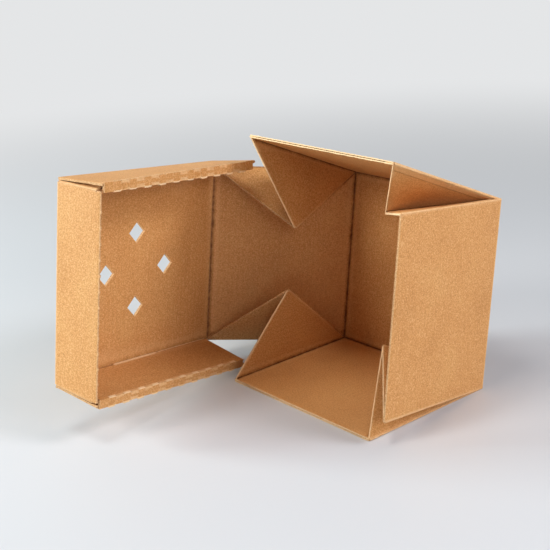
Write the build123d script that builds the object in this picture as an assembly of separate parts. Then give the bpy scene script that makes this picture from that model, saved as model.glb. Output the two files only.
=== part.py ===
from build123d import *
from math import cos, radians, sin, sqrt, tan
import os

# A burger box folded from one sheet of corrugated board, standing on one side wall with its lid open.
# Sizes are in millimetres, angles in degrees. Panel sizes run from crease to crease along the
# middle of the board. The tray is folded up with its bottom panel on XY and its mouth towards +Z,
# and the finished box is then laid down on its lower side wall.

# Board and creases
BOARD = 1.6  # thickness of the board
CREASE_PROUD = 0.06  # how far a scored crease bulges past the faces of the board
CORNER_PROUD = 0.12  # the same where several creases meet
CREASE_STOP = 0.6  # a crease's bulge ends this far short of a cut edge

# Flutes, open where a cut runs across them
FLUTE_PITCH = 3.2
LINER = 0.25  # each of the two face papers
MEDIUM = 0.22  # the waved paper between them
FLUTE_DEPTH = 2.5  # how deep the open flute ends are modelled
FLUTE_MARGIN = 5.0  # crushed board beside a crease, with its flutes closed
TIP_MARGIN = 12.0  # the same beside the fold of a corner web

# Tray: the leans are how far the opened walls have sprung outwards from upright
TRAY_DEPTH = 115.0  # bottom panel, from the hinge wall to the front wall
TRAY_WIDTH = 110.0  # bottom panel, from one side wall to the other
WALL_HEIGHT = 91.0
HINGE_WALL_LEAN = 28.5
FRONT_WALL_LEAN = 6.5
LOWER_WALL_LEAN = 8.5  # the side wall that the box stands on
UPPER_WALL_LEAN = 15.5
WEB_ANGLE = 45.0  # half of the square corner between two walls, folded on its bisector

# Lid
LID_DEPTH = 125.0  # panel, from the hinge crease to the front wall
LID_WIDTH = 116.0
LID_WALL = 32.5
LID_FOLD = 40.5  # how far the lid is folded in from the plane of the hinge wall
LID_FRONT_LEAN = 1.0
FRONT_UPPER_END_LEAN = -1.5  # the two ends of the front wall have come away from the leaning side walls
FRONT_LOWER_END_LEAN = 5.0
LID_UPPER_LEAN = 2.3  # lean of a rolled side wall at its front end
LID_LOWER_LEAN = 6.7
LID_UPPER_TWIST = 5.3  # how much more it leans at its hinge end
LID_LOWER_TWIST = 4.8
HINGE_PLAY = 0.25  # air between the hinge crease and the edge of the lid panel

# Rolled side walls of the lid: outer ply, rim strip, inner ply, with a tab of the front wall between
RIM_STRIP = 3.6
PLY_GAP = 0.1  # air between the plies and the tab
INNER_PLY_START = 3.0  # where the inner ply begins, from the hinge crease
FOOT_GAP = 0.2  # air under the raw edge of the inner ply
TAB_LENGTH = 28.0
TAB_NECK = 2.2  # start of the tab, bent from the end of the front wall to between the plies
TAB_DROP = 3.0  # how far the tab stays below the rim
SLIT_PITCH = 11.3  # the creases beside the rim strip are cut through in dashes
SLIT_LENGTH = 5.4
SLIT_WIDTH = 1.9  # opened by the folding, wider than the crease's bulge

# Torn bridges left along the rim of the lid's front wall
NICK_PITCH = 8.5
NICK_WIDTH = 1.4
NICK_HEIGHT = 0.5

# Steam vents: four square holes turned on their corners, in a cross
VENT_HALF_DIAGONAL = 6.2
VENT_CENTRE = 66.0  # middle of the cross, from the hinge crease
VENT_ALONG = 24.0  # from the middle to the vents nearer to and further from the hinge
VENT_ACROSS = 22.0  # from the middle to the vents on either side

CREASE_RADIUS = BOARD / 2 + CREASE_PROUD
CORNER_RADIUS = BOARD / 2 + CORNER_PROUD
PLY_STEP = BOARD + PLY_GAP
END_LEAN = {-1: HINGE_WALL_LEAN, 1: FRONT_WALL_LEAN}
SIDE_LEAN = {-1: LOWER_WALL_LEAN, 1: UPPER_WALL_LEAN}
LID_SIDE_LEAN = {-1: LID_LOWER_LEAN, 1: LID_UPPER_LEAN}
LID_SIDE_TWIST = {-1: LID_LOWER_TWIST, 1: LID_UPPER_TWIST}
FRONT_END_LEAN = {-1: FRONT_LOWER_END_LEAN, 1: FRONT_UPPER_END_LEAN}


def plate(*corners):
    """A flat panel of board whose middle plane has these corners."""
    middle = Face(Wire.make_polygon(corners, close=True))
    return extrude(middle, amount=BOARD / 2, both=True)


def crease(start, end, start_stop=0.0, end_stop=0.0):
    """The rounded bulge along a fold, held back from its two ends."""
    along = (end - start).normalized()
    length = (end - start).length - start_stop - end_stop
    return Solid.make_cylinder(CREASE_RADIUS, length, Plane(start + along * start_stop, z_dir=along))


def twisted_plate(near, far):
    """A panel between two pairs of points, each pair at one distance along X, that may lean differently."""
    sections = []
    for foot, rim in (near, far):
        across = (rim - foot).cross(Vector(1, 0, 0)).normalized() * (BOARD / 2)
        corners = [foot - across, rim - across, rim + across, foot + across]
        sections.append(Wire.make_polygon(corners, close=True))
    return Solid.make_loft(sections, ruled=True)


def slits(start, end, inwards):
    """Square slots along a fold where it is cut through in dashes, which the folding has opened."""
    along = (end - start).normalized()
    half = inwards * (SLIT_WIDTH / 2)
    length = (end - start).length
    count = int(length // SLIT_PITCH)
    first = (length - (count - 1) * SLIT_PITCH - SLIT_LENGTH) / 2
    slots = []
    for index in range(count):
        near = start + along * (first + index * SLIT_PITCH)
        far = near + along * SLIT_LENGTH
        middle = Face(Wire.make_polygon([near - half, far - half, far + half, near + half], close=True))
        slots.append(extrude(middle, amount=SLIT_WIDTH / 2, both=True))
    return slots


def knuckle(point):
    """The crushed spot where several creases meet."""
    return Solid.make_sphere(CORNER_RADIUS, Plane(point), angle1=-90)


def flute_mouths(edge_start, across, outwards, fall, first, last):
    """Open flute ends along a cut edge, as prisms to take out of the panel.

    The flutes run outwards, and the edge crosses them, dropping by fall for each unit across.
    The waved paper leaves a row of triangles, with their wide sides on one liner and the other in turn.
    """
    normal = across.cross(outwards)
    core = BOARD / 2 - LINER
    steepness = 2 * core / (FLUTE_PITCH / 2)
    paper = MEDIUM / 2 * sqrt(1 + steepness**2)
    half_base = (2 * core - paper) / steepness
    mouths = []
    for index in range(int((last - first) // (FLUTE_PITCH / 2))):
        place = first + (index + 0.5) * FLUTE_PITCH / 2
        liner_side = normal * (-1) ** index
        middle = edge_start + across * place + outwards * (FLUTE_DEPTH - fall * place)
        apex = middle + liner_side * (paper - core)
        base = [middle + liner_side * core + across * reach for reach in (-half_base, half_base)]
        mouth = Face(Wire.make_polygon([apex, *base]))
        mouths.append(extrude(mouth, amount=2 * FLUTE_DEPTH, dir=-outwards))
    return mouths


def joined(pieces):
    """One solid from touching pieces, added one at a time, which copes with many meeting creases."""
    whole = pieces[0]
    for piece in pieces[1:]:
        whole = whole.fuse(piece)
    return whole


def bottom_corner(end, side):
    return Vector(end * TRAY_DEPTH / 2, side * TRAY_WIDTH / 2, 0)


def end_wall_rise(end):
    """Unit vector up the hinge wall (end -1) or the front wall (end 1)."""
    lean = radians(END_LEAN[end])
    return Vector(end * sin(lean), 0, cos(lean))


def side_wall_rise(side):
    """Unit vector up the lower (side -1) or the upper (side 1) side wall."""
    lean = radians(SIDE_LEAN[side])
    return Vector(0, side * sin(lean), cos(lean))


def web_fold(end, side):
    """Unit vector along the inward fold of a corner web.

    In the flat sheet the web is the right-angled triangle between two neighbouring walls, cut
    straight from rim to rim. Its fold keeps the web angle to both wall edges whatever their lean,
    and that fixes the direction in which the fold points into the tray.
    """
    end_rise = end_wall_rise(end)
    side_rise = side_wall_rise(side)
    share = cos(radians(WEB_ANGLE)) / (1 + end_rise.dot(side_rise))
    between = (end_rise + side_rise) * share
    inwards = end_rise.cross(side_rise).normalized() * (end * side)
    return between + inwards * sqrt(1 - between.dot(between))


def end_wall(end):
    low, high = bottom_corner(end, -1), bottom_corner(end, 1)
    rise = end_wall_rise(end) * WALL_HEIGHT
    return [plate(low, high, high + rise, low + rise), crease(low, high)]


def side_wall(side):
    """A side wall, with the ends of its flutes open along the rim."""
    near, far = bottom_corner(-1, side), bottom_corner(1, side)
    rise = side_wall_rise(side)
    rim = rise * WALL_HEIGHT
    across = (far - near).normalized()
    mouths = flute_mouths(near + rim, across, rise, 0, FLUTE_MARGIN, TRAY_DEPTH - FLUTE_MARGIN)
    return [plate(near, far, far + rim, near + rim).cut(*mouths), crease(near, far)]


def corner_web(end, side):
    """Two triangles joined on the inward fold, one on each of the walls beside the corner.

    The flutes run up the side wall's triangle and across the end wall's, and end open at the cut.
    """
    slope = tan(radians(WEB_ANGLE))
    corner = bottom_corner(end, side)
    fold = web_fold(end, side)
    fold_length = WALL_HEIGHT * cos(radians(WEB_ANGLE))
    tip = corner + fold * fold_length
    tip_rise = fold_length * cos(radians(WEB_ANGLE))
    tip_across = fold_length * sin(radians(WEB_ANGLE))
    pieces = [knuckle(corner), crease(corner, tip, end_stop=CREASE_STOP)]
    for rise in (end_wall_rise(end), side_wall_rise(side)):
        rim = corner + rise * WALL_HEIGHT
        across = (fold - rise * fold.dot(rise)).normalized()
        if rise.Y:
            mouths = flute_mouths(rim, across, rise, slope, FLUTE_MARGIN, tip_across - TIP_MARGIN)
        else:
            drop = WALL_HEIGHT - tip_rise
            mouths = flute_mouths(rim, -rise, across, -1 / slope, FLUTE_MARGIN, drop - TIP_MARGIN)
        pieces += [plate(corner, rim, tip).cut(*mouths), crease(corner, rim, end_stop=CREASE_STOP)]
    return joined(pieces)


def hinge_point(side):
    return bottom_corner(-1, side) + end_wall_rise(-1) * WALL_HEIGHT


def make_tray():
    bottom = plate(*(bottom_corner(end, side) for end, side in ((-1, -1), (1, -1), (1, 1), (-1, 1))))
    hinge_crease = crease(hinge_point(-1), hinge_point(1))
    walls = joined([bottom, *end_wall(-1), *end_wall(1), *side_wall(-1), *side_wall(1), hinge_crease])
    webs = [corner_web(end, side) for end in (-1, 1) for side in (-1, 1)]
    return joined([walls, *webs])


def lid_frame():
    """Frame on the hinge crease: X along the lid panel, Z towards the inside of the lid."""
    rise = end_wall_rise(-1)
    inside = Vector(rise.Z, 0, -rise.X)
    fold = radians(LID_FOLD)
    along = rise * cos(fold) + inside * sin(fold)
    normal = inside * cos(fold) - rise * sin(fold)
    middle = (hinge_point(-1) + hinge_point(1)) / 2
    return Plane(middle, x_dir=along, z_dir=normal)


def lid_side_rise(side, x=LID_DEPTH):
    """Unit vector up a rolled side wall at a distance from the hinge, and the one across it, inwards."""
    lean = radians(LID_SIDE_LEAN[side] + LID_SIDE_TWIST[side] * (1 - x / LID_DEPTH))
    out = -side  # the lid frame's Y points down the standing box
    return Vector(0, out * sin(lean), cos(lean)), Vector(0, -out * cos(lean), sin(lean))


def lid_side_foot(side, x, inset):
    """Point on the panel's middle plane at the foot of a side wall."""
    return Vector(x, -side * (LID_WIDTH / 2 - inset), 0)


def wall_points(side, x):
    """Foot, outer rim, inner rim and raw edge of a rolled wall, at a distance from the hinge."""
    rise, inwards = lid_side_rise(side, x)
    foot = lid_side_foot(side, x, 0)
    outer_rim = foot + rise * LID_WALL
    raw_edge = lid_side_foot(side, x, 2 * PLY_STEP) + Vector(0, 0, BOARD / 2 + FOOT_GAP)
    return foot, outer_rim, outer_rim + inwards * RIM_STRIP, raw_edge


def over_folds(outer_rim, inner_rim):
    """The two edges of the rim strip, moved out over the sharp folds beside it until it covers them."""
    reach = (inner_rim - outer_rim).normalized() * CREASE_RADIUS
    return outer_rim - reach, inner_rim + reach


def rolled_wall(side):
    """Outer ply, rim strip and inner ply, rolled over the tab of the front wall."""
    _, inwards = lid_side_rise(side, LID_DEPTH / 2)
    hinge_foot, hinge_rim, _, _ = wall_points(side, 0)
    front_foot, front_rim, _, _ = wall_points(side, LID_DEPTH)
    _, *near = wall_points(side, INNER_PLY_START)
    _, *far = wall_points(side, LID_DEPTH - BOARD / 2 - PLY_GAP)
    _, _, *ply_end = wall_points(side, LID_DEPTH - TAB_NECK)
    pieces = [
        twisted_plate((hinge_foot, hinge_rim), (front_foot, front_rim)),
        crease(hinge_foot, lid_side_foot(side, LID_DEPTH, 0)),
        twisted_plate(over_folds(*near[:2]), over_folds(*far[:2])),
        twisted_plate(near[1:], ply_end),
    ]
    cuts = slits(near[0], far[0], inwards) + slits(near[1], far[1], inwards)
    return joined(pieces).cut(*cuts)


def front_wall_end(side, height):
    """Point on the crease between the front wall and its tab, at a height above the panel."""
    foot = lid_side_foot(side, LID_DEPTH, PLY_STEP)
    out = -side * tan(radians(FRONT_END_LEAN[side]))
    return foot + Vector(tan(radians(LID_FRONT_LEAN)), out, 1) * height


def tab_point(side, x, height):
    """Point on a tab where it lies along the side wall's outer ply."""
    rise, _ = lid_side_rise(side, x)
    return lid_side_foot(side, x, PLY_STEP) + rise * (height / rise.Z)


def rim_nicks():
    """Torn bridges that stand on the rim of the lid's front wall."""
    low, high = front_wall_end(-1, LID_WALL), front_wall_end(1, LID_WALL)
    along = (high - low).normalized()
    count = int((high - low).length // NICK_PITCH) - 1
    first = ((high - low).length - (count - 1) * NICK_PITCH - NICK_WIDTH) / 2
    lean = radians(LID_FRONT_LEAN)
    up = Vector(sin(lean), 0, cos(lean))
    nicks = []
    for index in range(count):
        start = low + along * (first + index * NICK_PITCH)
        end = start + along * NICK_WIDTH
        foot, top = up * -BOARD, up * NICK_HEIGHT
        nicks.append(plate(start + foot, end + foot, end + top, start + top))
    return nicks


def lid_front():
    """Front wall with the two end tabs that the side walls are rolled over."""
    low, high = front_wall_end(-1, 0), front_wall_end(1, 0)
    wall = plate(low, high, front_wall_end(1, LID_WALL), front_wall_end(-1, LID_WALL))
    pieces = [wall, crease(low, high), *rim_nicks()]
    heights = (BOARD / 2 + FOOT_GAP, LID_WALL - TAB_DROP)
    for side in (-1, 1):
        free_end = [tab_point(side, LID_DEPTH - TAB_LENGTH, height) for height in heights]
        bend = [tab_point(side, LID_DEPTH - TAB_NECK, height) for height in heights]
        wall_end = [front_wall_end(side, height) for height in heights]
        pieces += [twisted_plate(bend, wall_end), crease(*wall_end), twisted_plate(free_end, bend)]
    return joined(pieces)


def vents():
    side = VENT_HALF_DIAGONAL * sqrt(2)
    places = [(VENT_ALONG, 0), (-VENT_ALONG, 0), (0, VENT_ACROSS), (0, -VENT_ACROSS)]
    return [Pos(VENT_CENTRE + x, y, 0) * Box(side, side, 2 * BOARD, rotation=(0, 0, 45)) for x, y in places]


def make_lid():
    half = LID_WIDTH / 2
    corners = [(0, -half), (LID_DEPTH, -half), (LID_DEPTH, half), (0, half)]
    panel = plate(*(Vector(x, y, 0) for x, y in corners))
    lid = joined([panel, lid_front(), rolled_wall(-1), rolled_wall(1)])
    relief = Rot(90, 0, 0) * Cylinder(CREASE_RADIUS + HINGE_PLAY, 2 * LID_WIDTH)
    return lid_frame().from_local_coords(lid.cut(relief, *vents()))


def resting_face():
    """Frame on the middle of the lower side wall's outer face, with Z into the box."""
    rise = side_wall_rise(-1)
    inside = Vector(0, rise.Z, -rise.Y)
    foot = Vector(0, -TRAY_WIDTH / 2, 0)
    return Plane(foot + rise * (WALL_HEIGHT / 2) - inside * (BOARD / 2), x_dir=(1, 0, 0), z_dir=inside)


os.makedirs("parts", exist_ok=True)
for name, folded in (("tray", make_tray()), ("lid", make_lid())):
    standing = resting_face().to_local_coords(folded)
    export_step(standing, f"parts/{name}.step")
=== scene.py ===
import random
from dataclasses import dataclass
from math import cos, pi, radians, sin, sqrt, tan

import bmesh
import bpy
from mathutils import Matrix, Quaternion, Vector, kdtree


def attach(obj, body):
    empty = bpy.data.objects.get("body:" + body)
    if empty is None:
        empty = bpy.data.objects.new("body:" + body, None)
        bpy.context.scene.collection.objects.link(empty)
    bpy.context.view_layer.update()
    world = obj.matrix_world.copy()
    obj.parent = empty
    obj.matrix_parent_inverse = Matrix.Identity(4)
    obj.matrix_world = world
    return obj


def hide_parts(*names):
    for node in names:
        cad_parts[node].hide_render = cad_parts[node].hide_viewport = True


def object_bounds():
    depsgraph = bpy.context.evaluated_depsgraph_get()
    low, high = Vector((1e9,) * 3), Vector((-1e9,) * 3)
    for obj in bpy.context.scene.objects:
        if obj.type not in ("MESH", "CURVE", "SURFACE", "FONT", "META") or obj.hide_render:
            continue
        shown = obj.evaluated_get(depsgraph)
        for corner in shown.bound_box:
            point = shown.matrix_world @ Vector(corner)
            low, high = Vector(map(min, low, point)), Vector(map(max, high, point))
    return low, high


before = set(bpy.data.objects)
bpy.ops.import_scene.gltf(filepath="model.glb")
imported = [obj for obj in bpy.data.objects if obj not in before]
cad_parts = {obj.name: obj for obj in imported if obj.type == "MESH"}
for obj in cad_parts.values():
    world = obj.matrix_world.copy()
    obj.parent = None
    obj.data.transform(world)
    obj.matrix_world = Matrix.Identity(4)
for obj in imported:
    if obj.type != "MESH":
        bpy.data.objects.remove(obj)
cad_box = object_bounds()

MM = 0.001  # sizes are in millimetres and angles in degrees, where nothing else is said

# The folded sheet, with the same sizes as the solids
BOARD = 1.6
CREASE_PROUD = 0.06
TRAY_DEPTH = 115.0
TRAY_WIDTH = 110.0
WALL_HEIGHT = 91.0
HINGE_WALL_LEAN = 28.5
FRONT_WALL_LEAN = 6.5
LOWER_WALL_LEAN = 8.5
UPPER_WALL_LEAN = 15.5
WEB_ANGLE = 45.0
LID_DEPTH = 125.0
LID_WIDTH = 116.0
LID_WALL = 32.5
LID_FOLD = 40.5
LID_FRONT_LEAN = 1.0
FRONT_UPPER_END_LEAN = -1.5
FRONT_LOWER_END_LEAN = 5.0
LID_UPPER_LEAN = 2.3
LID_LOWER_LEAN = 6.7
LID_UPPER_TWIST = 5.3
LID_LOWER_TWIST = 4.8
RIM_STRIP = 3.6
PLY_GAP = 0.1
INNER_PLY_START = 3.0
FOOT_GAP = 0.2
TAB_LENGTH = 28.0
TAB_NECK = 2.2
TAB_DROP = 3.0
SLIT_PITCH = 11.3
SLIT_LENGTH = 5.4
VENT_HALF_DIAGONAL = 6.2
VENT_CENTRE = 66.0
VENT_ALONG = 24.0
VENT_ACROSS = 22.0
FLUTE_PITCH = 3.2

# Ends of the tray are -1 at the hinge wall and 1 at the front wall, sides are -1 below and 1 above
HINGE_END = -1
END_LEAN = {-1: HINGE_WALL_LEAN, 1: FRONT_WALL_LEAN}
SIDE_LEAN = {-1: LOWER_WALL_LEAN, 1: UPPER_WALL_LEAN}
LID_SIDE_LEAN = {-1: LID_LOWER_LEAN, 1: LID_UPPER_LEAN}
LID_SIDE_TWIST = {-1: LID_LOWER_TWIST, 1: LID_UPPER_TWIST}
FRONT_END_LEAN = {-1: FRONT_LOWER_END_LEAN, 1: FRONT_UPPER_END_LEAN}
PLY_STEP = BOARD + PLY_GAP
CREASE_RADIUS = BOARD / 2 + CREASE_PROUD
TAB_HEIGHTS = (BOARD / 2 + FOOT_GAP, LID_WALL - TAB_DROP)

# Relief of the folded board
BEAD_HEIGHT = 0.22  # ridge that the face paper throws up on the inner side of a fold
BEAD_PLACE = 1.8
BEAD_WIDTH = 1.6
EDGE_CRUSH = 0.34  # how far a cut along the flutes presses each face in
CRUSH_FADE = 4  # power by which that fades as a cut turns away from the flutes
WEB_CRUSH = 0.9  # share of it on the slanting cuts of the corner webs
SCORE_PLACE = 4.5  # second score line beside the fold of the upper front web

# Places of the materials on a piece of torn board
TORN_SIDE = 0
RAW_SIDE = 1
KRAFT_SIDE = 2

# Every strip of torn board: how ragged it is, and how it narrows at its ends and rounds its outer corner
RAGGED = 0.1
END_REACH = 0.8
END_THICK = 0.85
CORNER_REACH = 0.95
CORNER_THICK = 0.9

# Torn bars in the slits of the lid's rolled walls
SLIT_ROWS = (  # side, place across the rim strip, reach, material of the outer side
    (1, 0, 0.95, RAW_SIDE),
    (1, RIM_STRIP, 1.6, TORN_SIDE),
    (-1, 0, 1.8, TORN_SIDE),
    (-1, RIM_STRIP, 1.1, TORN_SIDE),
)
SLIT_ROOT = 1.1  # how deep a bar sits in the rim strip
SLIT_OVERLAP = 0.1
BAR_THINNER = 0.05  # how much thinner than the board a bar is
BAR_KRAFT = 0.6  # how far out of the strip its top is still covered by kraft
BAR_SPREAD = (0.9, 1.1)
BAR_STEPS = 7
LID_SEED = 7

# Torn feet of the lid's inner plies, with places measured from the hinge
LIP_START = 83.5
LIP_NOTCH = 48.0
LIP_NOTCH_WIDTH = 1.5
LIP_END = INNER_PLY_START + 1.0
LIP_RISE = 0.35
LIP_ROOT = 0.3
LIP_STEP = 1.5
WIDE_LIP = (1.2, 0.5)  # width, and how far it stands proud of the ply
NARROW_LIP = (0.6, 0.3)

# Paper left standing on the cut edges of the tray
FRINGE = 0.6  # its width on each face of the board
FRINGE_PROUD = 0.04
FRINGE_HEIGHT = 0.25
FRINGE_ROOT = 0.1
FRINGE_STEP = 1.1
TRAY_SEED = 11

# Lumps of crushed flutes on the folds of the webs
BUMP_WIDTH = 0.9
BUMP_REACH = (0.6, 1.1)
BUMP_LENGTH = (0.6, 0.9)  # share of their pitch
BUMP_SHIFT = 0.4
BUMP_MARGIN = 4.0
BUMP_RAGGED = 0.15
BUMP_STEPS = 4

# Edge loops beside each fold and cut, as distances from the edge of the panel
LOOP_OFFSETS = (1.2, 2.0, 3.2, 6.0)
VENT_LOOP = 0.6

# How the solids' faces are read
WELD = 0.002  # corners closer than this are one
LOOP_WELD = 0.001  # and a loop takes over corners closer than this
FLATTEN = 0.5  # edges turning by less than this are taken out first
STEP = 0.1  # a narrower face is the small step beside a rim strip, where no fold has its inner side
FLAT = 0.995  # how closely a face follows its panel, which on the lid's side walls is a little twisted
TWIST_SLACK = 0.45
CREASE_SLACK = 0.08
CREASE_FACING = 0.97
SHARP = 25.0  # edges turning by more than this stay sharp
EVEN = 0.9986  # faces this close to their panel's normal are shaded with it
FAR = 12.0  # distances to folds and cuts are not told apart beyond this

# Marks in the paper, and the painted shade and painted highlight at folds and cuts, as sizes of the noise
# that makes them
CLOUD_SIZE = 30.0
GRAIN_SIZE = 0.8
SPECK_SIZE = 1.0
PATCH_SIZE = 22.0  # patches where the flutes show through as a washboard, whose darker bands are painted shade
BREAK_SIZE = 2.5  # what breaks up the marks along folds and cuts
WANDER_SIZE = 4.0
WANDER = 1.6  # how far the painted shade line in a fold wanders, from one side to the other
RAW_FUZZ_SIZE = 0.6
STREAK_SIZE = 1.6
TORN_FUZZ_SIZE = 0.5

# Marks beside folds and cuts, most of them painted shade and painted highlight: the distances at which each
# begins and is full
RIDGE_SCUFF = (0.8, 0.0)
# painted highlight in a band beside each valley
VALLEY_PALE_NEAR = (1.4, 2.4)
VALLEY_PALE_FAR = (5.5, 3.0)
# painted shade in each valley, first a soft brown and then a dark line
VALLEY_BROWN = (2.2, 0.6)
VALLEY_DARK = (1.1, 0.2)
# painted highlight between a web's fold and its second score, and painted shade in the score's line
SCORE_PALE = (SCORE_PLACE, SCORE_PLACE - 0.8)
SCORE_DARK = (0.8, 0.1)
# pale beside cuts: paler cut paper, and a painted highlight where the edge catches light
CUT_PALE = (0.5, 0.0)

KRAFT_GLOSS = 0.25
RAW_GLOSS = 0.2
TORN_GLOSS = 0.5

# Camera, fitted to the corners of the panels in the photograph
IMAGE_SIZE = 550
FOCAL_PIXELS = 1154.2
SENSOR_WIDTH = 36.0
CAMERA_PLACE = Vector((459.6, -427.0, 282.4)) * MM
CAMERA_AIM = Vector((-15.4, -43.4, 76.8)) * MM
CAMERA_ROLL = -3.56

# Stage, with its lengths in metres
LAMP_DISTANCE = 1.25
LAMP_SIZE = 0.4
LAMP_AIM = Vector((-0.02, -0.04, 0.07))
WHITE = (1.0, 1.0, 1.0)
KEY_TINT = (0.86, 0.97, 1.0)
RIGHT_TINT = (0.95, 0.93, 1.0)
LAMPS = (  # name, azimuth from -Y towards +X, elevation, watts, colour
    ("left_key", -50, 18, 15.9, KEY_TINT),
    ("front_fill", -12, 35, 5.6, WHITE),
    ("top_fill", 0, 75, 4.0, WHITE),
    ("right_front", 65, 25, 1.5, WHITE),
    ("right_back", 120, 40, 7.2, RIGHT_TINT),
    ("right_side", 95, 20, 4.4, RIGHT_TINT),
)
PALE = (0.78, 0.79, 0.8, 1.0)  # backdrop
SKY = (0.9, 0.92, 0.95, 1.0)
SKY_STRENGTH = 0.03
FLOOR_COLOUR = (0.62, 0.63, 0.64, 1.0)
FLOOR_ROUGHNESS = 0.55
FLOOR_SIZE = 6.0
FLOOR_FADE = (0.3, 1.1)  # where the floor begins to fade to the backdrop and where it is gone


@dataclass
class Panel:
    """A flat part of the sheet: the corners of its middle plane and the way its flutes run."""

    corners: list
    flute: Vector
    scored: bool = False  # whether a second score runs beside its first edge

    def __post_init__(self):
        first, second, third = self.corners[:3]
        self.flute = self.flute.normalized()
        self.normal = (second - first).cross(third - first).normalized()
        self.is_web = len(self.corners) == 3

    def height(self, point):
        """Height over the panel's middle, which between four corners may be twisted."""
        if self.is_web:
            return (point - self.corners[0]).dot(self.normal)
        length = self.corners[1] - self.corners[0]
        foot = self.corners[0] + length * ((point - self.corners[0]).dot(length) / length.length_squared)
        return (point - foot).dot(self.turned_normal(point))

    def across_flutes(self, point):
        return (point - self.corners[0]).dot(self.flute.cross(self.normal))

    def outline(self):
        """Start and end of each edge."""
        return zip(self.corners, self.corners[1:] + self.corners[:1])

    def edges(self):
        """Start of each edge, and the unit vector from it into the panel."""
        for start, end in self.outline():
            yield start, self.normal.cross(end - start).normalized()

    def from_score(self, point):
        """Distance from the first edge, beside which the second score runs."""
        start, inwards = next(self.edges())
        return (point - start).dot(inwards)

    def turned_normal(self, point):
        """Normal at a point, which on a twisted panel turns from its first end to its second."""
        if self.is_web:
            return self.normal
        first, second, third, fourth = self.corners
        length = second - first
        share = (point - first).dot(length) / length.length_squared
        return length.cross((fourth - first).lerp(third - second, share)).normalized()

    def holds(self, point, margin):
        return all((point - start).dot(inwards) > -margin for start, inwards in self.edges())


def evenly(start, end, steps):
    return [start.lerp(end, step / steps) for step in range(steps + 1)]


def tray_point(x, y, z):
    """A point of the tray, drawn with its bottom on XY and its mouth up, on the standing box."""
    lean = radians(LOWER_WALL_LEAN)
    across = y + TRAY_WIDTH / 2
    return Vector((
        x,
        across * sin(lean) - z * cos(lean) + WALL_HEIGHT / 2,
        across * cos(lean) + z * sin(lean) + BOARD / 2,
    )) * MM


def tray_direction(x, y, z):
    return (tray_point(x, y, z) - tray_point(0, 0, 0)).normalized()


def bottom_corner(end, side):
    return tray_point(end * TRAY_DEPTH / 2, side * TRAY_WIDTH / 2, 0)


def end_rise(end):
    lean = radians(END_LEAN[end])
    return tray_direction(end * sin(lean), 0, cos(lean))


def side_rise(side):
    lean = radians(SIDE_LEAN[side])
    return tray_direction(0, side * sin(lean), cos(lean))


def web_tip(end, side):
    """Inner point of a corner web, where its fold keeps the web angle to both walls."""
    up_end, up_side = end_rise(end), side_rise(side)
    between = (up_end + up_side) * (cos(radians(WEB_ANGLE)) / (1 + up_end.dot(up_side)))
    inwards = up_end.cross(up_side).normalized() * (end * side)
    fold = between + inwards * sqrt(1 - between.length_squared)
    return bottom_corner(end, side) + fold * (WALL_HEIGHT * cos(radians(WEB_ANGLE)) * MM)


def web_panels(end, side):
    """The two triangles of a corner web, the first on the end wall and the second on the side wall."""
    corner, tip = bottom_corner(end, side), web_tip(end, side)
    up_end, up_side = end_rise(end), side_rise(side)
    end_flute = (tip - corner) - up_end * (tip - corner).dot(up_end)
    scored = (end, side) == (1, 1)
    return [
        Panel([corner, corner + up_end * (WALL_HEIGHT * MM), tip], end_flute),
        Panel([corner, corner + up_side * (WALL_HEIGHT * MM), tip], up_side, scored),
    ]


def tray_panels():
    """The bottom, the end walls, the side walls and the corner webs."""
    across = tray_direction(0, 1, 0)
    ring = [bottom_corner(end, side) for end, side in ((-1, -1), (1, -1), (1, 1), (-1, 1))]
    panels = [Panel(ring, across)]
    for end in (-1, 1):
        low, high = bottom_corner(end, -1), bottom_corner(end, 1)
        rise = end_rise(end) * (WALL_HEIGHT * MM)
        panels.append(Panel([low, high, high + rise, low + rise], across))
    for side in (-1, 1):
        near, far = bottom_corner(-1, side), bottom_corner(1, side)
        rise = side_rise(side) * (WALL_HEIGHT * MM)
        panels.append(Panel([near, far, far + rise, near + rise], rise))
    for end in (-1, 1):
        for side in (-1, 1):
            panels += web_panels(end, side)
    return panels


def lid_axes():
    """Middle of the hinge crease, and the lid's directions: along its panel, down the box and inwards."""
    rise = end_rise(HINGE_END)
    inside = tray_direction(cos(radians(HINGE_WALL_LEAN)), 0, sin(radians(HINGE_WALL_LEAN)))
    fold = radians(LID_FOLD)
    along = rise * cos(fold) + inside * sin(fold)
    inwards = inside * cos(fold) - rise * sin(fold)
    foot = (bottom_corner(HINGE_END, -1) + bottom_corner(HINGE_END, 1)) / 2
    return foot + rise * (WALL_HEIGHT * MM), along, inwards.cross(along), inwards


def lid_point(x, y, z):
    """A point of the lid, x along its panel from the hinge, y down the box and z inwards."""
    middle, along, down, inwards = lid_axes()
    return middle + (along * x + down * y + inwards * z) * MM


def lid_wall_point(side, along, height, inset):
    """A point on a lid side wall: height up its outer ply from the panel, inset towards the inside."""
    lean = radians(LID_SIDE_LEAN[side] + LID_SIDE_TWIST[side] * (1 - along / LID_DEPTH))
    down = LID_WIDTH / 2 + height * sin(lean) - inset * cos(lean)
    return lid_point(along, -side * down, height * cos(lean) + inset * sin(lean))


def ply_foot(side, along):
    """A point on the raw edge of an inner ply, which stands just above the panel."""
    return lid_point(along, -side * (LID_WIDTH / 2 - 2 * PLY_STEP), BOARD / 2 + FOOT_GAP)


def front_end(side, height):
    """A point at one end of the lid's front wall."""
    foot = LID_WIDTH / 2 - PLY_STEP + height * tan(radians(FRONT_END_LEAN[side]))
    return lid_point(LID_DEPTH + height * tan(radians(LID_FRONT_LEAN)), -side * foot, height)


def neck_ends(side):
    """Foot and top of a bent tab neck, at the lid's front wall and where the neck enters the side wall."""
    at_front = [front_end(side, height) for height in TAB_HEIGHTS]
    at_side = [lid_wall_point(side, LID_DEPTH - TAB_NECK, height, PLY_STEP) for height in TAB_HEIGHTS]
    return at_front, at_side


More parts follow.
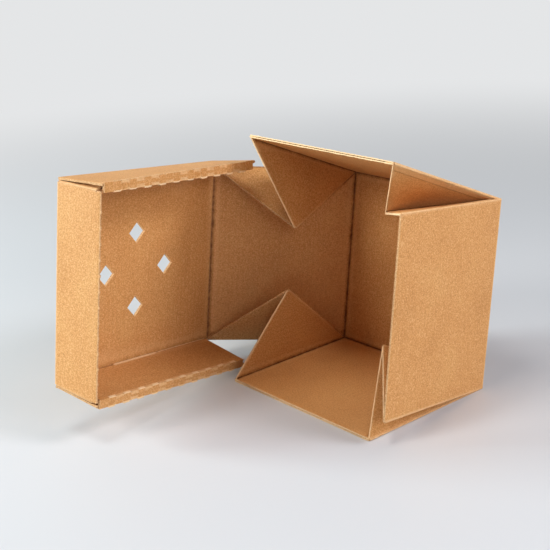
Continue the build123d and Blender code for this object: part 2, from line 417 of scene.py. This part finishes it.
def rolled_wall_panels(side):
    """A tab's neck, the tab, and the outer ply, rim strip and inner ply that hold it."""
    _, along, _, _ = lid_axes()
    at_front, bend = neck_ends(side)
    free = [lid_wall_point(side, LID_DEPTH - TAB_LENGTH, height, PLY_STEP) for height in TAB_HEIGHTS]
    outer = [lid_wall_point(side, x, 0, 0) for x in (0, LID_DEPTH)]
    rim = [lid_wall_point(side, x, LID_WALL, 0) for x in (0, LID_DEPTH)]
    inner = [lid_wall_point(side, x, LID_WALL, RIM_STRIP) for x in (0, LID_DEPTH)]
    feet = [ply_foot(side, x) for x in (0, LID_DEPTH)]
    return [
        Panel([*at_front, bend[1], bend[0]], along),
        Panel([*bend, free[1], free[0]], along),
        Panel([outer[0], outer[1], rim[1], rim[0]], rim[0] - outer[0]),
        Panel([rim[0], rim[1], inner[1], inner[0]], inner[0] - rim[0]),
        Panel([inner[0], inner[1], feet[1], feet[0]], feet[0] - inner[0]),
    ]


def lid_panels():
    """The panel with the vents, which comes first, the front wall and the rolled side walls."""
    _, _, down, _ = lid_axes()
    half = LID_WIDTH / 2
    ring = ((0, -half), (LID_DEPTH, -half), (LID_DEPTH, half), (0, half))
    front = [front_end(-1, 0), front_end(1, 0), front_end(1, LID_WALL), front_end(-1, LID_WALL)]
    panels = [Panel([lid_point(x, y, 0) for x, y in ring], down), Panel(front, down)]
    return panels + rolled_wall_panels(-1) + rolled_wall_panels(1)


def panel_of(face, panels):
    """Index of the panel whose outer or inner face this is, or -1 for creases and cut edges."""
    centre = face.calc_center_median()
    for index, panel in enumerate(panels):
        flat = abs(face.normal.dot(panel.turned_normal(centre))) > FLAT
        near = abs(abs(panel.height(centre)) - BOARD / 2 * MM) < TWIST_SLACK * MM
        if flat and near and panel.holds(centre, BOARD * MM):
            return index
    return -1


def is_crease(face, panels):
    """Whether a face is on the round of a crease: it looks straight out from an edge of a panel."""
    centre = face.calc_center_median()
    for panel in panels:
        for start, end in panel.outline():
            line = (end - start).normalized()
            out = (centre - start) - line * (centre - start).dot(line)
            near = abs(out.length - CREASE_RADIUS * MM) < CREASE_SLACK * MM
            if near and out.normalized().dot(face.normal) > CREASE_FACING:
                return True
    return False


def cut_loop(bm, layer, index, place, normal):
    """Cuts one edge loop through the faces of a panel."""
    faces = [face for face in bm.faces if face[layer] == index]
    edges = {edge for face in faces for edge in face.edges}
    verts = {vert for face in faces for vert in face.verts}
    bmesh.ops.bisect_plane(
        bm, geom=[*faces, *edges, *verts], dist=LOOP_WELD * MM, plane_co=place, plane_no=normal,
    )


def add_loops(bm, panels, layer):
    """Cuts loops along every edge of every panel, so that the sheet can change near folds and cuts."""
    for index, panel in enumerate(panels):
        for start, inwards in panel.edges():
            for offset in LOOP_OFFSETS:
                cut_loop(bm, layer, index, start + inwards * (offset * MM), inwards)


def add_vent_loops(bm, layer):
    """Cuts loops round the lid's vents, beside their slanting edges."""
    _, along, down, _ = lid_axes()
    reach = (VENT_HALF_DIAGONAL / sqrt(2) + VENT_LOOP) * MM
    for x, y in ((VENT_ALONG, 0), (-VENT_ALONG, 0), (0, VENT_ACROSS), (0, -VENT_ACROSS)):
        centre = lid_point(VENT_CENTRE + x, y, 0)
        for slant in (along + down, along - down, -along - down, down - along):
            cut_loop(bm, layer, 0, centre + slant.normalized() * reach, slant)


def split_sheet(node, panels):
    """A copy of a solid's mesh with loops at its folds, and the layer that numbers its faces by panel."""
    bm = bmesh.new()
    bm.from_mesh(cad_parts[node].data)
    bmesh.ops.remove_doubles(bm, verts=bm.verts, dist=WELD * MM)
    bmesh.ops.dissolve_limit(bm, angle_limit=radians(FLATTEN), verts=bm.verts, edges=bm.edges)
    layer = bm.faces.layers.int.new("panel")
    bm.normal_update()
    for face in bm.faces:
        face[layer] = panel_of(face, panels)
    add_loops(bm, panels, layer)
    if node == "lid":
        add_vent_loops(bm, layer)
    bmesh.ops.triangulate(bm, faces=[face for face in bm.faces if len(face.verts) > 4])
    bm.normal_update()
    bm.verts.index_update()
    return bm, layer


def width(face):
    """Width of a face, from its area and its longest edge."""
    return face.calc_area() / max(edge.calc_length() for edge in face.edges)


def inner_folds(bm, layer):
    """Edges along the inner sides of folds, where two panels meet in a hollow."""
    found = []
    for edge in bm.edges:
        if len(edge.link_faces) != 2 or edge.is_convex:
            continue
        one, other = edge.link_faces
        two_panels = one[layer] >= 0 and other[layer] >= 0 and one[layer] != other[layer]
        if two_panels and min(width(one), width(other)) > STEP * MM:
            found.append(edge)
    return found


def cut_edges(bm, raw):
    """Edges between cut board and the rest of the sheet."""
    pairs = ((edge, edge.link_faces) for edge in bm.edges)
    return [edge for edge, faces in pairs if len(faces) == 2 and (faces[0] in raw) != (faces[1] in raw)]


def points_along(edges):
    """Points less than two millimetres apart along mesh edges."""
    points = []
    for edge in edges:
        start, end = (vert.co for vert in edge.verts)
        points += evenly(start, end, max(1, int((end - start).length / MM)))
    return points


def tree_of(points):
    tree = kdtree.KDTree(len(points))
    for index, point in enumerate(points):
        tree.insert(point, index)
    tree.balance()
    return tree


def distances(bm, points):
    """Distance in millimetres from each vertex to the nearest of the points."""
    tree = tree_of(points)
    return [min(FAR, tree.find(vert.co)[2] / MM) for vert in bm.verts]


def valley_distances(bm, points, panels, layer):
    """The same for the inner sides of folds, which count only on that side of the sheet."""
    tree = tree_of(points)
    found = []
    for vert in bm.verts:
        place, _, distance = tree.find(vert.co)
        homes = [panels[index] for index in {face[layer] for face in vert.link_faces if face[layer] >= 0}]
        behind = any(home.height(vert.co) * home.height(place) < 0 for home in homes)
        found.append(FAR if behind else min(FAR, distance / MM))
    return found


def hinge_valley():
    """Points along the inner side of the hinge crease, which belongs to both solids, where the materials
    paint shade.
    """
    places = range(int(TRAY_WIDTH) + 1)
    return [lid_point(0, place - TRAY_WIDTH / 2, CREASE_RADIUS) for place in places]


def neck_valley():
    """Points in the wedges outside the bent tab necks, at the two ends of the lid's front wall, which the
    materials darken with painted shade.
    """
    points = []
    for side in (-1, 1):
        outwards = (lid_point(0, -side, 0) - lid_point(0, 0, 0)).normalized() * (BOARD / 2 * MM)
        foot, top = [(one + other) / 2 + outwards for one, other in zip(*neck_ends(side))]
        points += evenly(foot, top, int(LID_WALL))
    return points


def ply_foot_valley():
    """Points along the gaps where the lid's inner plies stand on its panel, which the materials darken with
    painted shadow.
    """
    places = range(int(INNER_PLY_START), int(LID_DEPTH))
    inset = LID_WIDTH / 2 - 2 * PLY_STEP - BOARD / 2
    return [lid_point(x, -side * inset, BOARD / 2) for side in (-1, 1) for x in places]


def crush_of(cut, panels, layer):
    """Share of the full crush at the ends of the cut edges, on the webs and along the flutes elsewhere."""
    crush = {}
    for edge in cut:
        index = max(face[layer] for face in edge.link_faces)
        if index < 0:
            continue
        along = (edge.verts[1].co - edge.verts[0].co).normalized()
        share = abs(along.dot(panels[index].flute)) ** CRUSH_FADE
        if panels[index].is_web:
            share = WEB_CRUSH
        for vert in edge.verts:
            crush[vert] = max(crush.get(vert, 0), share)
    return crush


def add_relief(bm, panels, layer, from_valley, cut):
    """Raises a bead on the inner side of each fold, and presses in the cut edges."""
    crush = crush_of(cut, panels, layer)
    for vert in bm.verts:
        homes = {face[layer] for face in vert.link_faces if face[layer] >= 0}
        if len(homes) != 1:
            continue
        panel = panels[homes.pop()]
        off_bead = (from_valley[vert.index] - BEAD_PLACE) / BEAD_WIDTH
        lift = BEAD_HEIGHT * max(0, 1 - off_bead ** 2) - EDGE_CRUSH * crush.get(vert, 0)
        side = 1 if panel.height(vert.co) > 0 else -1
        vert.co += panel.normal * (side * lift * MM)


def write_fields(bm, panels, layer, fields):
    """Tells the materials how far folds and cuts are, and where the flutes and the second score run."""
    for name, values in fields.items():
        field = bm.loops.layers.float.new(name)
        for face in bm.faces:
            for loop in face.loops:
                loop[field] = values[loop.vert.index]
    across = bm.loops.layers.float.new("flute_mm")
    score = bm.loops.layers.float.new("score_mm")
    for face in bm.faces:
        panel = panels[face[layer]] if face[layer] >= 0 else None
        for loop in face.loops:
            loop[across] = panel.across_flutes(loop.vert.co) / MM if panel else 0.0
            loop[score] = panel.from_score(loop.vert.co) / MM if panel and panel.scored else FAR


def smooth_twisted(mesh, panels):
    """Shades the even faces of the panels with the normal that the panel has there."""
    normals = [Vector(corner.vector) for corner in mesh.corner_normals]
    home = mesh.attributes["panel"].data
    for face in mesh.polygons:
        index = home[face.index].value
        if index < 0:
            continue
        for loop in face.loop_indices:
            normal = panels[index].turned_normal(mesh.vertices[mesh.loops[loop].vertex_index].co)
            if normal.dot(face.normal) < 0:
                normal = -normal
            if normal.dot(face.normal) > EVEN:
                normals[loop] = normal
    mesh.normals_split_custom_set(normals)


def add_piece(name, mesh, materials):
    for material in materials:
        mesh.materials.append(material)
    piece = bpy.data.objects.new(name, mesh)
    bpy.context.scene.collection.objects.link(piece)
    return piece


def dress(node, panels, materials, more_valleys):
    """Replaces a solid by its mesh with relief at the folds and cuts."""
    bm, layer = split_sheet(node, panels)
    creases = {face for face in bm.faces if face[layer] < 0 and is_crease(face, panels)}
    raw = {face for face in bm.faces if face[layer] < 0 and face not in creases}
    cut = cut_edges(bm, raw)
    hinge = hinge_valley()
    from_hinge = distances(bm, hinge)
    ridge = [vert.co for face in creases for vert in face.verts if from_hinge[vert.index] > BOARD]
    # the materials paint shade in the hollows near these points
    valley = points_along(inner_folds(bm, layer)) + hinge + more_valleys
    fields = {
        "valley_mm": valley_distances(bm, valley, panels, layer),
        "ridge_mm": distances(bm, ridge),
        "cut_mm": distances(bm, points_along(cut)),
    }
    add_relief(bm, panels, layer, fields["valley_mm"], cut)
    write_fields(bm, panels, layer, fields)
    for face in bm.faces:
        face.material_index = int(face in raw)
        face.smooth = True
    for edge in bm.edges:
        edge.smooth = edge.calc_face_angle(0) < radians(SHARP)
    mesh = bpy.data.meshes.new(f"{node}_board")
    bm.to_mesh(mesh)
    bm.free()
    smooth_twisted(mesh, panels)
    piece = add_piece(f"{node}_board", mesh, materials)
    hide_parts(node)
    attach(piece, node)


def ragged_bar(
    bm, path, out, up, reach, thick, chance, ragged=RAGGED, torn=TORN_SIDE, sides=TORN_SIDE, lip=0.5,
):
    """A strip of torn board along a path, with a ragged outer side and pinched ends.

    The outer side and the outer part of the top, from the share lip of the reach on, take the
    material numbered torn, and the others the one numbered sides.
    """
    rings = []
    for index, point in enumerate(path):
        at_end = index in (0, len(path) - 1)
        far = out * ((reach + chance.uniform(-ragged, ragged)) * (END_REACH if at_end else 1) * MM)
        high = up * ((thick + chance.uniform(-ragged, ragged) / 2) * (END_THICK if at_end else 1) * MM)
        rounded = point + far * CORNER_REACH + high * CORNER_THICK
        ring = [point, point + far, rounded, point + far * lip + high, point + high]
        rings.append([bm.verts.new(place) for place in ring])
    for end in (reversed(rings[0]), rings[-1]):
        bm.faces.new(end).material_index = sides
    for one, other in zip(rings, rings[1:]):
        for corner in range(len(one)):
            after = (corner + 1) % len(one)
            face = bm.faces.new((one[corner], one[after], other[after], other[corner]))
            face.material_index = torn if corner in (1, 2) else sides


def slit_bars(bm, side, inset, reach, torn, chance):
    """Board of the rim strip that stands straight where a crease beside it is cut through in dashes."""
    span = (INNER_PLY_START, LID_DEPTH - BOARD / 2 - PLY_GAP)
    ends = [lid_wall_point(side, x, LID_WALL, inset) for x in span]
    middle = LID_DEPTH / 2
    rim = lid_wall_point(side, middle, LID_WALL, 0)
    up = (rim - lid_wall_point(side, middle, 0, 0)).normalized()
    inwards = (lid_wall_point(side, middle, LID_WALL, 1) - rim).normalized()
    out = inwards if inset else -inwards
    along = (ends[1] - ends[0]).normalized()
    length = (ends[1] - ends[0]).length / MM
    count = int(length // SLIT_PITCH)
    first = (length - (count - 1) * SLIT_PITCH - SLIT_LENGTH) / 2 - SLIT_OVERLAP
    root = ends[0] - (out * SLIT_ROOT + up * (BOARD / 2 - BAR_THINNER)) * MM
    for index in range(count):
        near = root + along * ((first + index * SLIT_PITCH) * MM)
        far = near + along * ((SLIT_LENGTH + 2 * SLIT_OVERLAP) * MM)
        bar_reach = SLIT_ROOT + reach * chance.uniform(*BAR_SPREAD)
        ragged_bar(
            bm, evenly(near, far, BAR_STEPS), out, up, bar_reach, BOARD - BAR_THINNER, chance,
            torn=torn, sides=KRAFT_SIDE, lip=(SLIT_ROOT + BAR_KRAFT) / bar_reach,
        )


def foot_lip(bm, side, start, end, wide, proud, chance):
    """Torn paper along the raw foot of an inner ply."""
    foot = ply_foot(side, LID_DEPTH / 2)
    up = (lid_wall_point(side, LID_DEPTH / 2, LID_WALL, RIM_STRIP) - foot).normalized()
    out = up.cross(ply_foot(side, LID_DEPTH) - ply_foot(side, 0)).normalized()
    if out.dot(lid_point(0, 0, 0) - lid_point(0, -side, 0)) < 0:
        out = -out
    sink = out * ((BOARD / 2 - LIP_ROOT) * MM) + up * (LIP_RISE * MM)
    path = evenly(ply_foot(side, start) + sink, ply_foot(side, end) + sink, int(abs(end - start) / LIP_STEP))
    ragged_bar(bm, path, out, up, proud + LIP_ROOT, wide, chance)


def lid_edges(materials):
    """Torn board in the slits of the lid's rolled walls and at the feet of their inner plies."""
    chance = random.Random(LID_SEED)
    bm = bmesh.new()
    for side, inset, reach, torn in SLIT_ROWS:
        slit_bars(bm, side, inset, reach, torn, chance)
    for side in (-1, 1):
        foot_lip(bm, side, LIP_START, LIP_NOTCH, *WIDE_LIP, chance)
        foot_lip(bm, side, LIP_NOTCH - LIP_NOTCH_WIDTH, LIP_END, *NARROW_LIP, chance)
    finish_piece("lid_edges", bm, materials, "lid")


def cut_fringe(bm, start, end, outwards, normal, half, torn, chance):
    """Paper that the cut has left standing on both face papers of an edge, which are half off its middle."""
    steps = int((end - start).length / (FRINGE_STEP * MM))
    for face in (-1, 1):
        root = normal * (face * (half - FRINGE) * MM) - outwards * (FRINGE_ROOT * MM)
        path = evenly(start + root, end + root, steps)
        reach = FRINGE + FRINGE_PROUD
        ragged_bar(bm, path, normal * face, outwards, reach, FRINGE_HEIGHT, chance, torn=torn, sides=torn)


def fold_bumps(bm, corner, tip, out, chance):
    """Lumps on the fold of a web, one where each flute is crushed as the fold crosses it."""
    fold = (tip - corner).normalized()
    across = fold.cross(out)
    root = corner + (out - across) * (BUMP_WIDTH / 2 * MM)
    pitch = FLUTE_PITCH / sin(radians(WEB_ANGLE))
    count = int(((tip - corner).length / MM - 2 * BUMP_MARGIN) // pitch)
    for index in range(count):
        shift = chance.uniform(-BUMP_SHIFT, BUMP_SHIFT)
        near = root + fold * ((BUMP_MARGIN + index * pitch + shift) * MM)
        far = near + fold * (pitch * chance.uniform(*BUMP_LENGTH) * MM)
        ragged_bar(
            bm, evenly(near, far, BUMP_STEPS), out, across, chance.uniform(*BUMP_REACH), BUMP_WIDTH, chance,
            ragged=BUMP_RAGGED, torn=KRAFT_SIDE, sides=KRAFT_SIDE,
        )


def web_edges(bm, end, side, chance):
    """Torn paper on the two cut edges of a corner web, duller at the hinge wall, and lumps on its fold."""
    corner, tip = bottom_corner(end, side), web_tip(end, side)
    fold = (tip - corner).normalized()
    half = BOARD / 2 - EDGE_CRUSH * WEB_CRUSH
    at_end = RAW_SIDE if end == HINGE_END else TORN_SIDE
    back = Vector()
    for up, torn in ((end_rise(end), at_end), (side_rise(side), TORN_SIDE)):
        top = corner + up * (WALL_HEIGHT * MM)
        edge = (tip - top).normalized()
        outwards = (top - corner - edge * (top - corner).dot(edge)).normalized()
        cut_fringe(bm, top, tip, outwards, edge.cross(outwards), half, torn, chance)
        back += up - fold * up.dot(fold)
    fold_bumps(bm, corner, tip, -back.normalized(), chance)


def tray_edges(materials):
    """Torn paper on the rims of the tray's side walls and on its webs."""
    chance = random.Random(TRAY_SEED)
    bm = bmesh.new()
    for side in (-1, 1):
        rise = side_rise(side)
        near, far = [bottom_corner(end, side) + rise * (WALL_HEIGHT * MM) for end in (-1, 1)]
        normal = (far - near).cross(rise).normalized()
        cut_fringe(bm, near, far, rise, normal, BOARD / 2, TORN_SIDE, chance)
        for end in (-1, 1):
            web_edges(bm, end, side, chance)
    finish_piece("tray_edges", bm, materials, "tray")


def finish_piece(name, bm, materials, body):
    """Makes an object of torn board that rides on a body, and tells its materials that no fold is near."""
    bmesh.ops.recalc_face_normals(bm, faces=bm.faces)
    for field in ("valley_mm", "ridge_mm", "cut_mm", "score_mm"):
        layer = bm.loops.layers.float.new(field)
        for face in bm.faces:
            for loop in face.loops:
                loop[layer] = FAR
    mesh = bpy.data.meshes.new(name)
    bm.to_mesh(mesh)
    bm.free()
    piece = add_piece(name, mesh, materials)
    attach(piece, body)


def srgb(red, green, blue):
    """A colour written as 0 to 255 screen values, by the sRGB formula."""
    linear = [((c / 255 + 0.055) / 1.055) ** 2.4 if c > 10 else c / 255 / 12.92 for c in (red, green, blue)]
    return (*linear, 1.0)


class Nodes:
    """Short hand for a material's node tree."""

    def __init__(self, name):
        self.material = bpy.data.materials.new(name)
        self.material.use_nodes = True
        self.tree = self.material.node_tree
        self.shader = self.tree.nodes["Principled BSDF"]

    def add(self, kind, **settings):
        node = self.tree.nodes.new(kind)
        for key, value in settings.items():
            setattr(node, key, value)
        return node

    def link(self, value, socket):
        """Leads a node's output to a socket, or gives the socket a plain value."""
        if isinstance(value, bpy.types.NodeSocket):
            self.tree.links.new(value, socket)
        else:
            socket.default_value = value

    def attribute(self, name):
        return self.add("ShaderNodeAttribute", attribute_name=name).outputs["Fac"]

    def place(self):
        return self.add("ShaderNodeTexCoord").outputs["Object"]

    def noise(self, size, detail=2.0, roughness=0.5):
        """Noise whose features are about this many millimetres across."""
        node = self.add("ShaderNodeTexNoise")
        self.link(self.place(), node.inputs["Vector"])
        node.inputs["Scale"].default_value = 1 / (size * MM)
        node.inputs["Detail"].default_value = detail
        node.inputs["Roughness"].default_value = roughness
        return node.outputs["Fac"]

    def math(self, operation, a, b=0.0):
        node = self.add("ShaderNodeMath", operation=operation)
        self.link(a, node.inputs[0])
        self.link(b, node.inputs[1])
        return node.outputs[0]

    def ramp(self, value, begins, full, least=0.0, most=1.0):
        """Goes smoothly from least, where the value begins the ramp, to most, where it is full."""
        node = self.add("ShaderNodeMapRange", interpolation_type="SMOOTHSTEP")
        self.link(value, node.inputs["Value"])
        limits = {"From Min": begins, "From Max": full, "To Min": least, "To Max": most}
        for name, number in limits.items():
            node.inputs[name].default_value = number
        return node.outputs["Result"]

    def mix(self, share, one, other):
        """Mixes two colours. The numbers are the Mix node's sockets for colours."""
        node = self.add("ShaderNodeMix", data_type="RGBA")
        self.link(share, node.inputs[0])
        self.link(one, node.inputs[6])
        self.link(other, node.inputs[7])
        return node.outputs[2]

    def bump(self, height, strength, distance, below=None):
        node = self.add("ShaderNodeBump")
        node.inputs["Strength"].default_value = strength
        node.inputs["Distance"].default_value = distance * MM
        self.link(height, node.inputs["Height"])
        if below:
            self.link(below, node.inputs["Normal"])
        return node.outputs["Normal"]

    def surface(self, colour, roughness, gloss, normal):
        """Gives the shader what the other nodes made, and returns the material."""
        self.link(colour, self.shader.inputs["Base Color"])
        self.link(roughness, self.shader.inputs["Roughness"])
        self.link(gloss, self.shader.inputs["Specular IOR Level"])
        self.link(normal, self.shader.inputs["Normal"])
        return self.material


KRAFT = srgb(210, 151, 88)
KRAFT_PALE = srgb(220, 166, 101)
# a deeper kraft tone, also the painted shade in the washboard's bands
KRAFT_DEEP = srgb(186, 127, 66)
KRAFT_SHADE = srgb(174, 116, 58)
# dark fibres for the specks, and painted shade beside valleys and in the score line
FIBRE_DARK_AND_SHADE = srgb(138, 88, 48)
# pale fibres and scuffs, and painted highlight beside valleys and the second score
FIBRE_PALE_AND_HIGHLIGHT = srgb(234, 188, 134)
# painted shade in the hollows of folds and in the gaps beside the lid's plies and necks
PAINTED_CREASE_SHADE = srgb(92, 48, 20)
# paler cut paper, also used for the painted highlight beside cuts on the face paper
RAW_PALE = srgb(238, 198, 146)
RAW_DEEP = srgb(176, 122, 74)
TORN = srgb(246, 214, 168)


def fold_scuffs_and_painted_light(n, colour, broken):
    """Scuffed ridges, and valleys with painted shade in them and a painted highlight in a band beside them.
    """
    ridge = n.math("MULTIPLY", n.ramp(n.attribute("ridge_mm"), *RIDGE_SCUFF, most=0.3), broken)
    colour = n.mix(ridge, colour, FIBRE_PALE_AND_HIGHLIGHT)
    wander = n.math("MULTIPLY", n.math("SUBTRACT", n.noise(WANDER_SIZE), 0.5), WANDER)
    from_valley = n.math("ADD", n.attribute("valley_mm"), wander)
    near, far = n.ramp(from_valley, *VALLEY_PALE_NEAR), n.ramp(from_valley, *VALLEY_PALE_FAR)
    beside = n.math("MULTIPLY", near, far)
    # painted highlight in a band beside the valley
    colour = n.mix(n.math("MULTIPLY", beside, 0.22), colour, FIBRE_PALE_AND_HIGHLIGHT)
    # painted shade: a soft brown and then a dark line in the valley
    colour = n.mix(n.ramp(from_valley, *VALLEY_BROWN, most=0.4), colour, FIBRE_DARK_AND_SHADE)
    valley = n.math("MULTIPLY", n.ramp(from_valley, *VALLEY_DARK, most=0.9), broken)
    return n.mix(valley, colour, PAINTED_CREASE_SHADE)


def score_and_cut_painted_light(n, colour, broken):
    """The second score beside a web's fold, with a painted highlight between fold and score and painted shade
    in the score's line, and the pale paper beside cuts, partly paler cut paper and partly a painted highlight
    where the edge catches light.
    """
    from_fold = n.attribute("score_mm")
    # painted highlight between the fold and the second score
    colour = n.mix(n.ramp(from_fold, *SCORE_PALE, most=0.3), colour, FIBRE_PALE_AND_HIGHLIGHT)
    from_score = n.math("ABSOLUTE", n.math("SUBTRACT", from_fold, SCORE_PLACE))
    # painted shade in the line of the second score
    score = n.math("MULTIPLY", n.ramp(from_score, *SCORE_DARK, most=0.55), broken)
    colour = n.mix(score, colour, FIBRE_DARK_AND_SHADE)
    # paler cut paper and painted highlight where the edge catches light
    cut = n.math("MULTIPLY", n.ramp(n.attribute("cut_mm"), *CUT_PALE, most=0.7), broken)
    return n.mix(cut, colour, RAW_PALE)


def kraft_face():
    """Brown kraft liner: cloudy tone, fine fibres, specks, a faint washboard with painted shade in its bands,
    and marks at folds and cuts that are scuffs, paler cut paper, painted shade and painted highlight.
    """
    n = Nodes("kraft_face")
    cloud = n.noise(CLOUD_SIZE, detail=3)
    colour = n.mix(n.ramp(cloud, 0.5, 0.75, most=0.5), KRAFT, KRAFT_PALE)
    colour = n.mix(n.ramp(cloud, 0.5, 0.25, most=0.4), colour, KRAFT_DEEP)
    grain = n.noise(GRAIN_SIZE, detail=3, roughness=0.65)
    colour = n.mix(n.ramp(grain, 0.48, 0.68, most=0.6), colour, FIBRE_PALE_AND_HIGHLIGHT)
    colour = n.mix(n.ramp(grain, 0.52, 0.32, most=0.65), colour, KRAFT_SHADE)
    specks = n.noise(SPECK_SIZE, detail=1, roughness=0.3)
    colour = n.mix(n.ramp(specks, 0.72, 0.8, most=0.45), colour, FIBRE_DARK_AND_SHADE)
    wave = n.math("SINE", n.math("MULTIPLY", n.attribute("flute_mm"), 2 * pi / FLUTE_PITCH))
    washboard = n.math("MULTIPLY", wave, n.ramp(n.noise(PATCH_SIZE), 0.4, 0.65))
    # painted shade in the washboard's bands, which the bump below also draws
    colour = n.mix(n.ramp(washboard, 0.0, 1.0, most=0.2), colour, KRAFT_DEEP)
    broken = n.ramp(n.noise(BREAK_SIZE, detail=3), 0.3, 0.7, least=0.5)
    colour = fold_scuffs_and_painted_light(n, colour, broken)
    colour = score_and_cut_painted_light(n, colour, broken)
    roughness = n.ramp(grain, 0.2, 0.8, least=0.5, most=0.66)
    fine = n.bump(grain, strength=0.3, distance=0.08)
    normal = n.bump(washboard, strength=0.3, distance=0.05, below=fine)
    return n.surface(colour, roughness, KRAFT_GLOSS, normal)


def raw_edge():
    """Cut board: paler torn paper with short dark streaks where the waved paper shows."""
    n = Nodes("raw_edge")
    fuzz = n.noise(RAW_FUZZ_SIZE, detail=4, roughness=0.7)
    colour = n.mix(n.ramp(fuzz, 0.3, 0.7), RAW_DEEP, RAW_PALE)
    colour = n.mix(n.ramp(n.noise(STREAK_SIZE), 0.58, 0.7, most=0.5), colour, RAW_DEEP)
    roughness = n.ramp(fuzz, 0.2, 0.8, least=0.8, most=0.98)
    return n.surface(colour, roughness, RAW_GLOSS, n.bump(fuzz, strength=0.5, distance=0.2))


def torn_paper():
    """Pale paper where the board has been torn."""
    n = Nodes("torn_paper")
    fuzz = n.noise(TORN_FUZZ_SIZE, detail=4, roughness=0.7)
    colour = n.mix(n.ramp(fuzz, 0.35, 0.65), RAW_PALE, TORN)
    roughness = n.ramp(fuzz, 0.2, 0.8, least=0.8, most=0.98)
    return n.surface(colour, roughness, TORN_GLOSS, n.bump(fuzz, strength=0.5, distance=0.15))


def backdrop_rays(tree):
    """1 for the rays that show the backdrop: from the camera, reflected, or through something clear."""
    rays = tree.nodes.new("ShaderNodeLightPath")
    seen = rays.outputs["Is Camera Ray"]
    for kind in ("Is Glossy Ray", "Is Transmission Ray"):
        either = tree.nodes.new("ShaderNodeMath")
        either.operation = "MAXIMUM"
        tree.links.new(seen, either.inputs[0])
        tree.links.new(rays.outputs[kind], either.inputs[1])
        seen = either.outputs[0]
    return seen


def pale_floor():
    """A plain floor that keeps the object's shadow near it and fades to a pale backdrop further off."""
    n = Nodes("pale_floor")
    n.shader.inputs["Base Color"].default_value = FLOOR_COLOUR
    n.shader.inputs["Roughness"].default_value = FLOOR_ROUGHNESS
    length = n.add("ShaderNodeVectorMath", operation="LENGTH")
    n.link(n.place(), length.inputs[0])
    far = n.math("MULTIPLY", n.ramp(length.outputs["Value"], *FLOOR_FADE), backdrop_rays(n.tree))
    glow = n.add("ShaderNodeEmission")
    glow.inputs["Color"].default_value = PALE
    blend = n.add("ShaderNodeMixShader")
    n.link(far, blend.inputs[0])
    n.link(n.shader.outputs[0], blend.inputs[1])
    n.link(glow.outputs[0], blend.inputs[2])
    n.link(blend.outputs[0], n.tree.nodes["Material Output"].inputs["Surface"])
    return n.material


def add_floor():
    bpy.ops.mesh.primitive_plane_add(size=FLOOR_SIZE, location=(0, 0, cad_box[0][2]))
    floor = bpy.context.object
    floor.name = "floor"
    floor.data.materials.append(pale_floor())


def add_camera():
    data = bpy.data.cameras.new("camera")
    data.sensor_width = SENSOR_WIDTH
    data.lens = FOCAL_PIXELS / IMAGE_SIZE * SENSOR_WIDTH
    camera = bpy.data.objects.new("camera", data)
    bpy.context.scene.collection.objects.link(camera)
    turn = (CAMERA_AIM - CAMERA_PLACE).to_track_quat("-Z", "Y")
    roll = Quaternion((0, 0, 1), radians(CAMERA_ROLL))
    camera.matrix_world = Matrix.Translation(CAMERA_PLACE) @ (turn @ roll).to_matrix().to_4x4()
    bpy.context.scene.camera = camera


def add_lamp(name, azimuth, elevation, watts, colour):
    turn, tilt = radians(azimuth), radians(elevation)
    towards = Vector((sin(turn) * cos(tilt), -cos(turn) * cos(tilt), sin(tilt)))
    data = bpy.data.lights.new(name, "AREA")
    data.shape = "DISK"
    data.size = LAMP_SIZE
    data.energy = watts
    data.color = colour
    lamp = bpy.data.objects.new(name, data)
    bpy.context.scene.collection.objects.link(lamp)
    lamp.location = LAMP_AIM + towards * LAMP_DISTANCE
    lamp.rotation_euler = (-towards).to_track_quat("-Z", "Y").to_euler()


def add_world():
    """A faint light from all round, and the pale backdrop that is seen in its place."""
    world = bpy.data.worlds.new("studio")
    bpy.context.scene.world = world
    world.use_nodes = True
    tree = world.node_tree
    light = tree.nodes["Background"]
    light.inputs["Color"].default_value = SKY
    light.inputs["Strength"].default_value = SKY_STRENGTH
    backdrop = tree.nodes.new("ShaderNodeBackground")
    backdrop.inputs["Color"].default_value = PALE
    blend = tree.nodes.new("ShaderNodeMixShader")
    tree.links.new(backdrop_rays(tree), blend.inputs[0])
    tree.links.new(light.outputs[0], blend.inputs[1])
    tree.links.new(backdrop.outputs[0], blend.inputs[2])
    tree.links.new(blend.outputs[0], tree.nodes["World Output"].inputs["Surface"])


face_paper = kraft_face()
cut_board = raw_edge()
dress("tray", tray_panels(), [face_paper, cut_board], [])
dress("lid", lid_panels(), [face_paper, cut_board], ply_foot_valley() + neck_valley())
scraps = [torn_paper(), cut_board, face_paper]  # in the order of TORN_SIDE, RAW_SIDE and KRAFT_SIDE
tray_edges(scraps)
lid_edges(scraps)
add_camera()
add_floor()
for settings in LAMPS:
    add_lamp(*settings)
add_world()
bpy.context.scene.view_settings.view_transform = "Standard"
